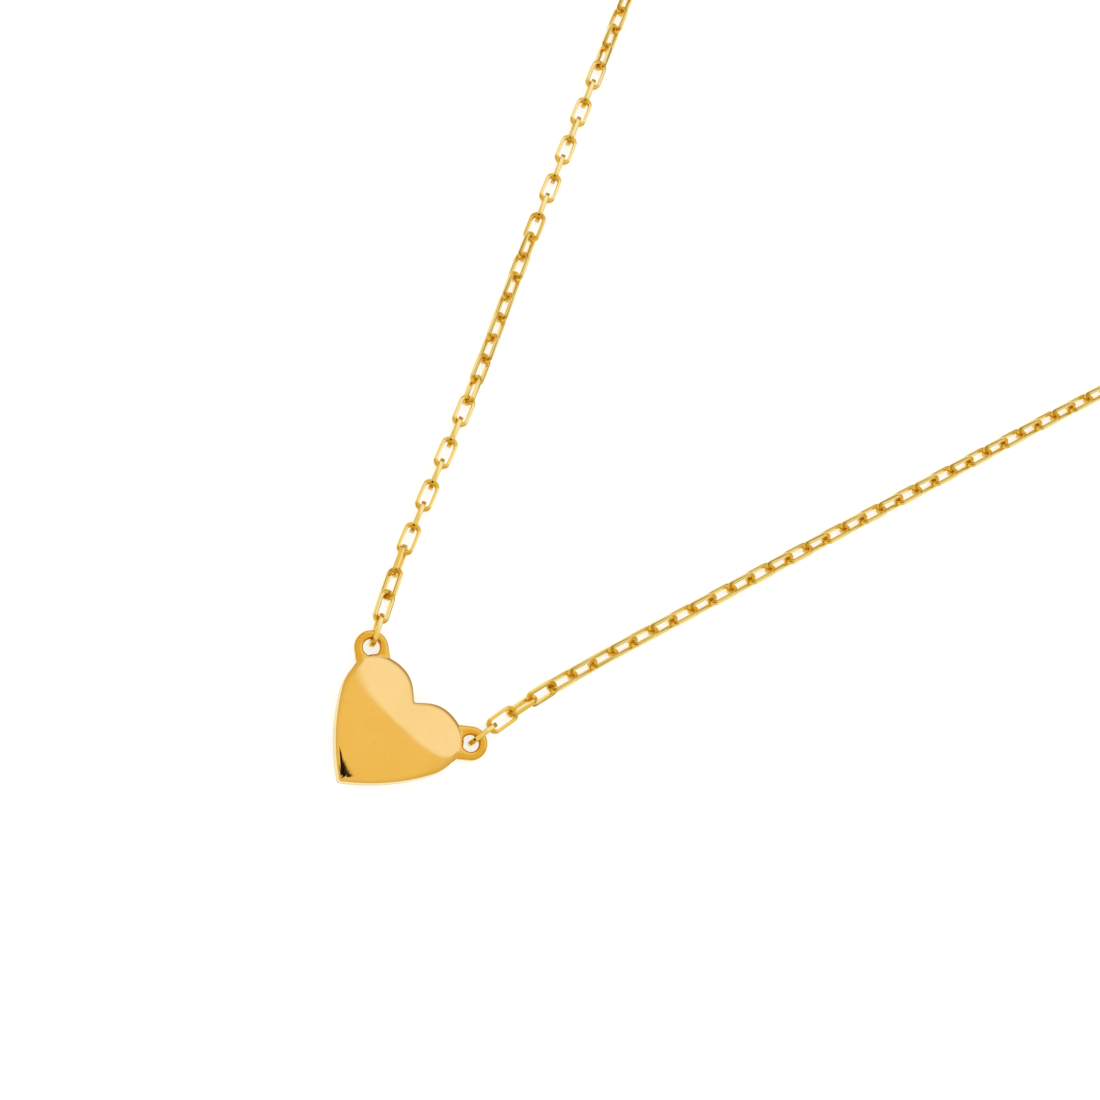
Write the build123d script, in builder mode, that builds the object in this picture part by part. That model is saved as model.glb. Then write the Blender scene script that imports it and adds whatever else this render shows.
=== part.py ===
from build123d import *
from math import cos, radians, sin, tan
import os

# A heart pendant on a fine cable chain, lying closed on a flat surface. Millimetres.
# The origin is on the heart's flat back, at its middle. +Y runs from tip to notch,
# +X to the right lobe and +Z out of the heart's front.

# Heart
heart_width = 8.16
heart_height = 7.57
lobe_radius = 2.06
notch_angle = 93.4
side_bend_x = 3.74
side_bend_y = 0.38
tip_angle = 110.0
tip_round = 0.15
notch_round = 0.12
wall_height = 0.98
crown_rise = 0.47
rim_round = 0.14

# Lugs, the flat rings soldered to the lobes
lug_diameter = 2.08
lug_hole = 1.04
lug_thickness = 0.34
lug_direction = 38.4
lug_overlap = 0.41

# Chain links, each a long round-cornered ring of nearly square wire
link_length = 2.18
link_width = 1.13
link_corner = 0.42
link_wire = 0.27
link_thickness = 0.28
link_clearance = 0.12
link_slip = 0.18
shown_links = 34

# Spring ring clasp, with the eyelet that holds the left strand
clasp_diameter = 5.5
clasp_tube = 1.0
clasp_tilt = 12.5
eyelet_diameter = 2.0
eyelet_hole = 1.05
eyelet_thickness = 0.35
eyelet_overlap = 0.3
trigger_diameter = 0.6
trigger_length = 0.7

# End ring, which leans through the clasp and holds the right strand
end_ring_diameter = 3.4
end_ring_wire = 0.42
end_ring_lean = 50.0
end_ring_drop = 8.0
end_ring_slack = 0.3

# Gaps between pieces that only lie against each other
piece_gap = 0.2

# The clasp's middle, at the back of the loop
clasp_x = -6.44
clasp_y = 179.49

# Chosen points of each strand between its lug and the clasp, as (x, y)
left_route = [
    (-6.06, 7.22),
    (-7.79, 11.64),
    (-11.0, 20.33),
    (-14.78, 29.04),
    (-18.01, 37.15),
    (-21.96, 46.93),
    (-27.69, 61.14),
    (-36.4, 81.41),
    (-45.16, 104.08),
    (-49.94, 128.2),
    (-44.4, 151.29),
    (-28.9, 170.54),
]
right_route = [
    (4.7, 7.06),
    (6.47, 13.12),
    (8.75, 20.05),
    (11.92, 29.76),
    (14.89, 38.79),
    (18.14, 48.86),
    (22.9, 62.64),
    (29.98, 82.65),
    (36.93, 105.16),
    (40.26, 129.22),
    (34.2, 152.12),
    (18.1, 170.87),
]

# How the twist of each strand lies, as (link number, roll of an even link in degrees).
# An odd link is rolled a quarter turn more. At 0 a link lies flat.
left_twist = [
    (0, 84),
    (3, 22),
    (4, 4),
    (9, 0),
    (10, -12),
    (11, -28),
    (12, -37),
    (16, -42),
    (18, -50),
    (20, -86),
    (26, -91),
    (27, -104),
    (29, -134),
    (31, -138),
]
right_twist = [
    (0, 90),
    (4, 44),
    (12, 39),
    (30, 38),
]

# Worked out from the sizes above
heart_top = heart_height / 2
tip_half = radians(tip_angle / 2)
notch_slope = radians(90 - notch_angle / 2)
lobe_x = heart_width / 2 - lobe_radius
lobe_y = heart_top - lobe_radius
sharp_tip_y = -heart_height / 2 - tip_round * (1 / sin(tip_half) - 1)
notch_start_x = lobe_x - lobe_radius * sin(notch_slope)
notch_start_y = lobe_y + lobe_radius * cos(notch_slope)
notch_y = notch_start_y - notch_start_x * tan(notch_slope)
crown_radius = ((heart_width / 2) ** 2 + crown_rise**2) / (2 * crown_rise)


def rolled_plane(place, along, roll):
    """A plane that holds the direction along, lies level at roll 0 and stands upright at 90."""
    side = Vector(0, 0, 1).cross(along).normalized()
    level_normal = along.cross(side).normalized()
    normal = level_normal * cos(radians(roll)) + side * sin(radians(roll))
    return Plane(origin=place, x_dir=along, z_dir=normal)


chain_height = (link_width**2 + link_thickness**2) ** 0.5 / 2
link_pitch = link_length - 2 * link_wire - link_clearance
first_link = lug_hole / 2 - link_clearance - link_wire + link_length / 2 - link_slip
shown_length = first_link + (shown_links - 1) * link_pitch + link_length / 2

lug_reach = lobe_radius + lug_diameter / 2 - lug_overlap
lug_x = lobe_x + lug_reach * cos(radians(lug_direction))
lug_y = lobe_y + lug_reach * sin(radians(lug_direction))

clasp_radius = (clasp_diameter - clasp_tube) / 2
clasp_z = clasp_radius * sin(radians(clasp_tilt)) + clasp_tube / 2
eyelet_x = clasp_x - clasp_radius * cos(radians(clasp_tilt)) - clasp_tube / 2
eyelet_x += eyelet_overlap - eyelet_diameter / 2
end_ring_radius = (end_ring_diameter - end_ring_wire) / 2
end_ring_reach = end_ring_radius - (end_ring_wire + clasp_tube) / 2 - end_ring_slack

# The clasp's plane rises towards the end ring
clasp_plane = Plane(
    origin=(clasp_x, clasp_y, clasp_z),
    x_dir=(cos(radians(clasp_tilt)), 0, sin(radians(clasp_tilt))),
    z_dir=(-sin(radians(clasp_tilt)), 0, cos(radians(clasp_tilt))),
)
clasp_far_side = clasp_plane.from_local_coords((clasp_radius, 0, 0))
end_ring_axis = Vector(cos(radians(end_ring_drop)), 0, -sin(radians(end_ring_drop)))
end_ring_centre = clasp_far_side + end_ring_axis * end_ring_reach
end_ring_plane = rolled_plane(end_ring_centre, end_ring_axis, end_ring_lean)

left_end_x = eyelet_x - eyelet_diameter / 2 - piece_gap
right_end_x = end_ring_centre.X + end_ring_diameter / 2 + piece_gap


def strand_path(lug_side, chosen, end_x):
    """The line of one strand, straight runs joined by the largest arcs that fit."""
    corners = [Vector(lug_side * lug_x, lug_y, chain_height)]
    corners += [Vector(x, y, chain_height) for x, y in chosen]
    corners.append(Vector(end_x, clasp_y, chain_height))
    runs = [end - start for start, end in zip(corners, corners[1:])]
    radii = []
    for before, after in zip(runs, runs[1:]):
        half_turn = radians(before.get_angle(after) / 2)
        radii.append(0.45 * min(before.length, after.length) / tan(half_turn))
    with BuildLine() as strand:
        FilletPolyline(*corners, radius=radii)
    print("runs", [round(run.length, 1) for run in runs])
    print("radii", [round(radius, 1) for radius in radii])
    return strand.wire()


def twist_at(table, number):
    """The roll of an even link, read between the rows of a twist table."""
    for (low, start), (high, end) in zip(table, table[1:]):
        if number <= high:
            return start + (end - start) * (number - low) / (high - low)
    return table[-1][1]


def link_planes(path, twist):
    """One plane for each shown link, along the strand and rolled as it lies."""
    planes = []
    for number in range(shown_links):
        distance = first_link + number * link_pitch
        place = path.position_at(distance, position_mode=PositionMode.LENGTH)
        along = path.tangent_at(distance, position_mode=PositionMode.LENGTH)
        roll = twist_at(twist, number) + 90 * (number % 2)
        planes.append(rolled_plane(place, along, roll))
    return planes


def shown_chain(path, twist):
    """The shown stretch of a strand, as loose interlocked links."""
    with BuildPart() as chain:
        for plane in link_planes(path, twist):
            with BuildSketch(plane):
                RectangleRounded(link_length, link_width, link_corner)
                RectangleRounded(
                    link_length - 2 * link_wire,
                    link_width - 2 * link_wire,
                    link_corner - link_wire,
                    mode=Mode.SUBTRACT,
                )
            extrude(amount=link_thickness / 2, both=True)
    return chain.part


def hidden_chain(path):
    """The rest of a strand, a plain tube as thick as the links are wide."""
    start = shown_length + piece_gap
    tube_line = path.trim(start / path.length, 1.0)
    with BuildPart() as tube:
        with BuildSketch(Plane(origin=tube_line @ 0, z_dir=tube_line % 0)):
            Circle(link_width / 2)
        sweep(path=tube_line)
    section = tube.part.faces().filter_by(GeomType.PLANE)[0].area
    print("tube", round(tube_line.length, 1), "volume over section and length",
          round(tube.part.volume / (section * tube_line.length), 4))
    return tube.part


# Heart with its lugs
with BuildPart() as heart:
    with BuildSketch() as outline:
        with BuildLine():
            notch_line = Line((0, notch_y), (notch_start_x, notch_start_y))
            lobe = ThreePointArc(notch_line @ 1, (lobe_x, heart_top), (heart_width / 2, lobe_y))
            side = TangentArc(lobe @ 1, (side_bend_x, side_bend_y), tangent=(0, -1))
            TangentArc(side @ 1, (0, sharp_tip_y), tangent=side % 1)
            mirror(about=Plane.YZ)
        make_face()
        corners = outline.vertices().sort_by(lambda corner: abs(corner.X))[:2].sort_by(Axis.Y)
        fillet(corners[0], tip_round)
        fillet(corners[1], notch_round)
    extrude(amount=wall_height + crown_rise)
    with Locations((0, 0, wall_height + crown_rise - crown_radius)):
        Sphere(crown_radius, mode=Mode.INTERSECT)
    fillet(heart.edges().filter_by(lambda edge: edge.bounding_box().min.Z > wall_height / 2), rim_round)
    lug_bottom = chain_height - lug_thickness / 2
    with BuildSketch(Plane.XY.offset(lug_bottom)):
        with Locations((lug_x, lug_y), (-lug_x, lug_y)):
            Circle(lug_diameter / 2)
            Circle(lug_hole / 2, mode=Mode.SUBTRACT)
    extrude(amount=lug_thickness)
heart.part.label = "heart_pendant"
export_step(heart.part, "parts/heart_pendant.step")

# Shown and hidden stretches of both strands
left_path = strand_path(-1, left_route, left_end_x)
right_path = strand_path(1, right_route, right_end_x)
strands = [("left", left_path, left_twist), ("right", right_path, right_twist)]
for side_name, path, twist in strands:
    shown = shown_chain(path, twist)
    shown.label = f"chain_{side_name}_links"
    export_step(shown, f"parts/{shown.label}.step")
    hidden = hidden_chain(path)
    hidden.label = f"chain_{side_name}_back"
    export_step(hidden, f"parts/{hidden.label}.step")

# Spring ring clasp, one plain piece with its trigger and its level eyelet
with BuildPart(clasp_plane) as clasp:
    Torus(clasp_radius, clasp_tube / 2)
    trigger_reach = clasp_diameter / 2 + trigger_length / 2
    with Locations(Location((0, -trigger_reach, 0), (90, 0, 0))):
        Cylinder(trigger_diameter / 2, trigger_length + clasp_tube / 2)
    with BuildSketch(Plane(origin=(eyelet_x, clasp_y, chain_height - eyelet_thickness / 2))):
        Circle(eyelet_diameter / 2)
        Circle(eyelet_hole / 2, mode=Mode.SUBTRACT)
    extrude(amount=eyelet_thickness)
clasp.part.label = "spring_ring_clasp"
export_step(clasp.part, "parts/spring_ring_clasp.step")

# End ring, which the clasp is hooked into
with BuildPart(end_ring_plane) as end_ring:
    Torus(end_ring_radius, end_ring_wire / 2)
end_ring.part.label = "end_ring"
export_step(end_ring.part, "parts/end_ring.step")

necklace = left_path.length + right_path.length + 2 * lug_x + right_end_x - left_end_x
print("necklace length", round(necklace, 1))
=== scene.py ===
"""A heart pendant on a fine cable chain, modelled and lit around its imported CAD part."""

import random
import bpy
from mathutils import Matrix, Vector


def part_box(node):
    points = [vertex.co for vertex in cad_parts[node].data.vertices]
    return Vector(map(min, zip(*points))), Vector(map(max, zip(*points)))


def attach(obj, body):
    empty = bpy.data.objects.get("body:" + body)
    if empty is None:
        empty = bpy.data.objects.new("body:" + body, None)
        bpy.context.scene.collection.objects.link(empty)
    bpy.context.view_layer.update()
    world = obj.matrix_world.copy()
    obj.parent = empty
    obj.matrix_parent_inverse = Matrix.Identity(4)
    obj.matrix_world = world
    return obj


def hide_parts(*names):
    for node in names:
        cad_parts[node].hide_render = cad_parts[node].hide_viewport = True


bl_info = {
    "name": "Heart Pendant Necklace",
    "version": (1, 0, 0),
    "blender": (4, 5, 0),
    "location": "3D View > Sidebar > Necklace",
    "description": "Models a gold heart pendant, its cable chain and its clasp",
    "category": "Object",
}

from math import asin, atan2, cos, exp, pi, radians, sin, sqrt, tan

import bmesh
import bpy
from bpy.props import FloatProperty, FloatVectorProperty, IntProperty, PointerProperty
from mathutils import Matrix, Vector

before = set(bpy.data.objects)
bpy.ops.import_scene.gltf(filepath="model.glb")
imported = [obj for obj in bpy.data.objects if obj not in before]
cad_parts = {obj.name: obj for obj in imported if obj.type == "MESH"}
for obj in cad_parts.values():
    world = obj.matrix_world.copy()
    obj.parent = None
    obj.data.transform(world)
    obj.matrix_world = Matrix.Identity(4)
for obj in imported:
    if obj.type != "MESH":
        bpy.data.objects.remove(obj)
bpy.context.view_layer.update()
HEART_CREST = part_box("heart_pendant")[1].z
MM = 0.001

# Chosen points of each strand between its lug and the clasp, as (x, y) in millimetres
LEFT_ROUTE = [
    (-6.06, 7.22), (-7.79, 11.64), (-11.0, 20.33), (-14.78, 29.04), (-18.01, 37.15),
    (-21.96, 46.93), (-27.69, 61.14), (-36.4, 81.41), (-45.16, 104.08), (-49.94, 128.2),
    (-44.4, 151.29), (-28.9, 170.54),
]
RIGHT_ROUTE = [
    (4.7, 7.06), (6.47, 13.12), (8.75, 20.05), (11.92, 29.76), (14.89, 38.79),
    (18.14, 48.86), (22.9, 62.64), (29.98, 82.65), (36.93, 105.16), (40.26, 129.22),
    (34.2, 152.12), (18.1, 170.87),
]

# How each strand's twist lies, as (link number, roll of an even link in degrees).
# An odd link is rolled a quarter turn more. At 0 a link lies flat.
LEFT_TWIST = [
    (0, 84), (3, 22), (4, 4), (9, 0), (10, -12), (11, -28), (12, -37), (16, -42), (18, -50),
    (20, -86), (26, -91), (27, -104), (29, -134), (31, -138),
    (60, -135), (72, -90), (96, -100), (112, -45), (140, -90),
]
RIGHT_TWIST = [
    (0, 90), (4, 44), (12, 39), (30, 38), (58, 45), (70, 90), (88, 80), (104, 45), (140, 90),
]

# Length of the straight stretch in which each strand comes to the clasp, in millimetres
APPROACH = 6.0

# Play between the end ring's wire and the last link, in millimetres
LINK_PLAY = 0.03

# The map that says where on its link a place of the chain is
LINK_MAP = "link_place"

# The painted shade at the ends of a link, where its neighbours cross it: where it sets in and is
# full, as shares of half its length, and how much of the dull spots the links keep
JOINT_SHADE_START, JOINT_SHADE_FULL = 0.56, 0.72
LINK_DULLNESS = 0.4

# How many steps each part of the heart's outline has, from the notch down to the tip
NOTCH_STEPS, LINE_STEPS, LOBE_STEPS, SIDE_STEPS, LOW_STEPS, TIP_STEPS = 4, 8, 44, 22, 44, 6

# Rings of the heart's face, from the wall inward: shares of the rim's rounding, shares of
# the shoulder's width, and how many even ones follow up to the middle, which lies a little
# above the heart's own, in millimetres
ROUNDING_RINGS = (0.03, 0.13, 0.3, 0.6, 1.0)
SHOULDER_RINGS = (0.25, 0.37, 0.5, 0.62, 0.75, 0.88, 1.0)
FACE_RINGS = 16
FACE_MIDDLE = 0.35

# Depth of the rim's rounding as a share of its width
ROUNDING_DEPTH = 0.8

# How far a soldered eye's straight flanks run into the piece, as a share of its radius
FLANK_REACH = 1.42

# Where the spring ring's tube and its bolt start and end, in degrees round its middle
TUBE_SPAN = (42, 284)
BOLT_SPAN = (-80, 48)

# Rounding of the trigger's tip as a share of its diameter, and of the ends of the spring
# ring's tube and of the end ring's wire, in millimetres
TRIGGER_ROUNDING = 0.3
TUBE_ROUNDING, WIRE_ROUNDING = 0.08, 0.02

# Where the end ring's joint is, in degrees round its middle
SEAM_AT = 100

# Faces that meet at more than this angle have a sharp edge between them
SHARP = radians(60)

# Corners closer than this are one, in millimetres
DOUBLES = 0.0005

# Marks of wear in the gold: the size of each kind of spot or stroke, in metres
WAVE_SIZE, GRAIN_SIZE, PIT_SIZE = 0.0021, 0.00016, 0.00034
SCRATCH_SIZE, CROSS_SCRATCH_SIZE = 0.0011, 0.0014

# Only the highest places of a noise are pits or scratches: where they begin and are full
PIT_RISE, SCRATCH_RISE, CROSS_SCRATCH_RISE = (0.70, 0.78), (0.62, 0.72), (0.64, 0.74)

# How long the scratches are drawn out, and their turns in degrees
SCRATCH_STRETCH, CROSS_SCRATCH_STRETCH = 22, 26
SCRATCH_TURN, CROSS_SCRATCH_TURN = 32, -51

# How dull the gold is all over, and how much the waves and pits add to that
DULLNESS, WAVE_DULLNESS, PIT_DULLNESS = 0.15, 0.5, 0.4

# How much the grain and the marks roughen fully worn gold
GRAIN_ROUGHNESS, MARK_ROUGHNESS = 0.16, 0.08

# The relief that the marks leave, in metres, and the share of each kind in it
RELIEF = 0.000004
WAVE_RISE, GRAIN_RISE, SCRATCH_DEPTH, PIT_DEPTH = 6.0, 0.25, 0.12, 0.9

# The edge between the white and the warm light overhead, in millimetres. To either side of
# its middle it bows away by powers of the distance, counted in spans, and then runs straight.
EDGE_X, EDGE_Y = 5, 94
EDGE_SPAN = 100
EDGE_BOW_SQUARED, EDGE_BOW_FOURTH = 14.5, 4.8
EDGE_BOW_END = 1.5
EDGE_SLOPE = 60

# Width of that edge, how much wider it grows on the left, and from where to where
EDGE_SOFT, EDGE_SOFTER = 5, 26
SOFTER_FROM, SOFTER_TO = 30, 120

# Where each light starts to fade and where it has faded, in millimetres: the white one by
# its distance behind the pendant, the warm one all round, and the wall by its height
WHITE_FADE = (230, 560)
WARM_FADE = (130, 330)
WALL_FADE = (30, 110)

# Widths of the floor and the ceiling, the wall's radius, how far both floors lie below the
# necklace, and how far the black card hangs below the ceiling, in metres
FLOOR_WIDTH, CEILING_WIDTH, WALL_RADIUS = 4.0, 1.4, 0.69
FLOOR_DROP, MIRRORED_DROP, CARD_DROP = 0.00001, 0.00002, 0.002

# Corners of the small black card above the pendant, as (x, y) in millimetres
BLACK_CARD = [
    (-107, -80), (-34, -33), (-13, -29.5), (1, -32.4), (7, -34), (18, -38.6), (42, -75),
    (10, -180), (-137, -171), (-76, -132), (-80, -105), (-90, -88),
]


class HeartSizes(bpy.types.PropertyGroup):
    width: FloatProperty(
        name="Width", description="Width of the heart across both lobes",
        default=0.00816, precision=5, unit="LENGTH")
    height: FloatProperty(
        name="Height", description="Height of the heart from its tip to the top of its lobes",
        default=0.00757, precision=5, unit="LENGTH")
    lobe_radius: FloatProperty(
        name="Lobe radius", description="Radius of each upper lobe",
        default=0.00206, precision=5, unit="LENGTH")
    notch_angle: FloatProperty(
        name="Notch angle", description="Opening angle of the notch between the lobes",
        default=radians(93.4), subtype="ANGLE")
    side_bend: FloatVectorProperty(
        name="Side bend", description="Where the lower side of the heart grows straighter",
        default=(0.00374, 0.00038), size=2, precision=5, unit="LENGTH")
    sharp_tip: FloatProperty(
        name="Sharp tip", description="How far below the middle both sides would meet",
        default=0.003818, precision=6, unit="LENGTH")
    tip_round: FloatProperty(
        name="Tip rounding", description="Radius of the rounded tip",
        default=0.00015, precision=5, unit="LENGTH")
    swell: FloatProperty(
        name="Swell", description="How far a lobe grows where its lug is soldered to it",
        default=0.0002, precision=5, unit="LENGTH")
    swell_at: FloatProperty(
        name="Swell at", description="Where that place is on the lobe, above level",
        default=radians(38.4), subtype="ANGLE")
    swell_spread: FloatProperty(
        name="Swell spread", description="How wide that place is",
        default=radians(30), subtype="ANGLE")
    notch_round: FloatProperty(
        name="Notch rounding", description="Radius of the rounded notch",
        default=0.00012, precision=5, unit="LENGTH")
    crest: FloatProperty(
        name="Crest", description="Height of the middle of the domed face",
        default=HEART_CREST, precision=5, unit="LENGTH")
    crown_rise: FloatProperty(
        name="Crown rise", description="How far the face rises from its sides to its middle",
        default=0.00047, precision=5, unit="LENGTH")
    rim_width: FloatProperty(
        name="Rim width", description="Width of the rounded shoulder all round the face",
        default=0.00034, precision=5, unit="LENGTH")
    rim_slope: FloatProperty(
        name="Rim slope", description="How steeply the shoulder ends",
        default=radians(23), subtype="ANGLE")
    rim_round: FloatProperty(
        name="Rim rounding", description="Rounding between the shoulder and the wall",
        default=0.00003, precision=5, unit="LENGTH")
    back_bevel: FloatProperty(
        name="Back bevel", description="Bevel round the flat back",
        default=0.00006, precision=5, unit="LENGTH")


class LugSizes(bpy.types.PropertyGroup):
    diameter: FloatProperty(
        name="Diameter", description="Outer diameter of each lug",
        default=0.00208, precision=5, unit="LENGTH")
    hole: FloatProperty(
        name="Hole", description="Diameter of the lug's hole",
        default=0.00102, precision=5, unit="LENGTH")
    thickness: FloatProperty(
        name="Thickness", description="Thickness of the lug",
        default=0.00042, precision=5, unit="LENGTH")
    direction: FloatProperty(
        name="Direction", description="Where the lug stands on its lobe, above level",
        default=radians(38.4), subtype="ANGLE")
    overlap: FloatProperty(
        name="Overlap", description="How far the lug runs into the heart",
        default=0.00041, precision=5, unit="LENGTH")
    bevel: FloatProperty(
        name="Bevel", description="Rounding of the lug's edges",
        default=0.00015, precision=5, unit="LENGTH")


class ChainSizes(bpy.types.PropertyGroup):
    length: FloatProperty(
        name="Link length", description="Outer length of one link",
        default=0.00216, precision=5, unit="LENGTH")
    width: FloatProperty(
        name="Link width", description="Outer width of one link",
        default=0.00107, precision=5, unit="LENGTH")
    corner: FloatProperty(
        name="Link corner", description="Outer radius of a link's corners",
        default=0.00050, precision=5, unit="LENGTH")
    wire: FloatProperty(
        name="Wire width", description="Width of the wire at the link's filed sides",
        default=0.00022, precision=5, unit="LENGTH")
    end_wire: FloatProperty(
        name="End wire width", description="Width of the wire at the link's ends",
        default=0.00031, precision=5, unit="LENGTH")
    thickness: FloatProperty(
        name="Wire thickness", description="Thickness of the wire across the link's plane",
        default=0.0003, precision=5, unit="LENGTH")
    facet: FloatProperty(
        name="Facet", description="Width of the bevel along the wire's edges",
        default=0.00006, precision=5, unit="LENGTH")
    pitch: FloatProperty(
        name="Pitch", description="Distance from one link's middle to the next",
        default=0.00152, precision=5, unit="LENGTH")
    pitch_right: FloatProperty(
        name="Right pitch", description="The same distance on the right strand",
        default=0.001515, precision=6, unit="LENGTH")
    first_left: FloatProperty(
        name="First left link", description="From the left lug's middle to its link's middle",
        default=0.00112, precision=5, unit="LENGTH")
    first_right: FloatProperty(
        name="First right link", description="From the right lug's middle to its link's middle",
        default=0.00096, precision=5, unit="LENGTH")
    last: FloatProperty(
        name="Last link", description="From the eyelet's middle to its link's middle",
        default=0.0012, precision=5, unit="LENGTH")
    height: FloatProperty(
        name="Height", description="Height of the strand's middle above the surface",
        default=0.000582, precision=6, unit="LENGTH")
    uneven: FloatProperty(
        name="Unevenness", description="Largest chance turn of a link about the strand",
        default=radians(3), subtype="ANGLE")
    shown: IntProperty(
        name="Even links", description="How many links from the heart keep the pitch exactly",
        default=40, min=1)
    seed: IntProperty(
        name="Seed", description="Start of the chance turns", default=7)


class ClaspSizes(bpy.types.PropertyGroup):
    diameter: FloatProperty(
        name="Diameter", description="Outer diameter of the spring ring",
        default=0.0055, precision=5, unit="LENGTH")
    tube: FloatProperty(
        name="Tube", description="Diameter of the spring ring's tube",
        default=0.0010, precision=5, unit="LENGTH")
    bolt: FloatProperty(
        name="Bolt", description="Diameter of the sprung bolt in the opening",
        default=0.00074, precision=5, unit="LENGTH")
    tilt: FloatProperty(
        name="Tilt", description="How far the clasp is raised towards the end ring",
        default=radians(12.5), subtype="ANGLE")
    place: FloatVectorProperty(
        name="Place", description="Middle of the spring ring",
        default=(-0.00644, 0.17949, 0.000987), precision=5, unit="LENGTH")
    trigger: FloatProperty(
        name="Trigger", description="Diameter of the knob that draws the bolt back",
        default=0.0006, precision=5, unit="LENGTH")
    trigger_length: FloatProperty(
        name="Trigger length", description="How far the knob stands out",
        default=0.0007, precision=5, unit="LENGTH")
    eyelet: FloatProperty(
        name="Eyelet", description="Outer diameter of the soldered eyelet",
        default=0.0020, precision=5, unit="LENGTH")
    eyelet_hole: FloatProperty(
        name="Eyelet hole", description="Diameter of the eyelet's hole",
        default=0.00105, precision=5, unit="LENGTH")
    eyelet_thickness: FloatProperty(
        name="Eyelet thickness", description="Thickness of the eyelet",
        default=0.00037, precision=5, unit="LENGTH")
    eyelet_overlap: FloatProperty(
        name="Eyelet overlap", description="How far the eyelet runs into the spring ring",
        default=0.0003, precision=5, unit="LENGTH")


class EndRingSizes(bpy.types.PropertyGroup):
    diameter: FloatProperty(
        name="Diameter", description="Outer diameter of the end ring",
        default=0.0034, precision=5, unit="LENGTH")
    wire: FloatProperty(
        name="Wire", description="Diameter of the end ring's wire",
        default=0.00042, precision=5, unit="LENGTH")
    lean: FloatProperty(
        name="Lean", description="How far the ring leans from lying flat",
        default=radians(50), subtype="ANGLE")
    drop: FloatProperty(
        name="Drop", description="How far the ring falls towards the chain",
        default=radians(8), subtype="ANGLE")
    slack: FloatProperty(
        name="Slack", description="Play between the ring and the clasp's tube",
        default=0.0003, precision=5, unit="LENGTH")
    seam: FloatProperty(
        name="Seam", description="Width of the closed joint in the ring",
        default=0.00003, precision=5, unit="LENGTH")


class GoldFinish(bpy.types.PropertyGroup):
    colour: FloatVectorProperty(
        name="Gold", description="Colour of the polished gold",
        default=(1.0, 0.70, 0.30), subtype="COLOR", min=0, max=1)
    wire: FloatVectorProperty(
        name="Wire gold", description="Colour of the drawn wire of the chain",
        default=(0.98, 0.80, 0.38), subtype="COLOR", min=0, max=1)
    # Painted shade: the links' ends, where their neighbours cross them, are darkened towards this
    # colour
    joints: FloatVectorProperty(
        name="Joint gold", description="Colour of the darker ends of the links",
        default=(0.77, 0.50, 0.09), subtype="COLOR", min=0, max=1)
    deep: FloatVectorProperty(
        name="Deep gold", description="Colour of the duller gold of lugs and hollows",
        default=(0.86, 0.53, 0.11), subtype="COLOR", min=0, max=1)
    polish: FloatProperty(
        name="Roughness", description="Roughness of the polished face",
        default=0.07, min=0, max=1, subtype="FACTOR")
    wire_polish: FloatProperty(
        name="Wire roughness", description="Roughness of the drawn wire",
        default=0.13, min=0, max=1, subtype="FACTOR")
    wear: FloatProperty(
        name="Wear", description="Strength of the fine marks of wear",
        default=0.25, min=0, max=1, subtype="FACTOR")


class StudioLook(bpy.types.PropertyGroup):
    room: FloatProperty(
        name="Room light", description="Brightness of the pale room all round",
        default=1.2, min=0)
    floor_glow: FloatProperty(
        name="Floor light", description="Light that comes up through the pale floor",
        default=0.66, min=0)
    floor: FloatVectorProperty(
        name="Floor", description="Colour of the pale floor, as the camera sees it",
        default=(0.39, 0.40, 0.37), subtype="COLOR", min=0, max=1)
    floor_seen: FloatVectorProperty(
        name="Mirrored floor", description="Colour of the floor as the polished metal shows it",
        default=(1.0, 0.96, 0.71), subtype="COLOR", min=0, max=1)
    white: FloatVectorProperty(
        name="Softbox", description="Glow of the white light overhead",
        default=(0.99, 0.99, 0.99), subtype="COLOR", min=0, max=1)
    white_end: FloatVectorProperty(
        name="Softbox end", description="Glow of its far end",
        default=(0.55, 0.44, 0.31), subtype="COLOR", min=0, max=1)
    warm: FloatVectorProperty(
        name="Warm light", description="Glow of the warm ceiling in front of the softbox",
        default=(0.887, 0.727, 0.318), subtype="COLOR", min=0, max=1)
    warm_end: FloatVectorProperty(
        name="Warm end", description="Glow of its far ends",
        default=(0.73, 0.59, 0.23), subtype="COLOR", min=0, max=1)
    wall_top: FloatVectorProperty(
        name="Wall top", description="Glow of the studio's wall below the ceiling",
        default=(0.36, 0.28, 0.18), subtype="COLOR", min=0, max=1)
    wall_foot: FloatVectorProperty(
        name="Wall foot", description="Glow of the studio's wall at the floor",
        default=(1.0, 0.95, 0.78), subtype="COLOR", min=0, max=1)
    black: FloatVectorProperty(
        name="Black card", description="Colour of the black card overhead",
        default=(0.006, 0.005, 0.002), subtype="COLOR", min=0, max=1)
    height: FloatProperty(
        name="Ceiling height", description="Height of the lights overhead",
        default=0.25, unit="LENGTH")
    distance: FloatProperty(
        name="Camera distance", description="From the camera to the middle of its view",
        default=0.124, unit="LENGTH")
    tilt: FloatProperty(
        name="Camera tilt", description="The camera's lean from straight down",
        default=radians(21), subtype="ANGLE")
    turn: FloatProperty(
        name="Camera turn", description="The camera's turn round the upright",
        default=radians(-3.0), subtype="ANGLE")
    roll: FloatProperty(
        name="Camera roll", description="The camera's roll about its own view",
        default=radians(47), subtype="ANGLE")
    lens: FloatProperty(
        name="Lens", description="Focal length in millimetres on a 36 mm sensor",
        default=65.45, min=1)
    aim: FloatVectorProperty(
        name="Aim", description="The place in the middle of the picture",
        default=(-0.000444, 0.01584, 0.000582), precision=6, unit="LENGTH")


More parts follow.
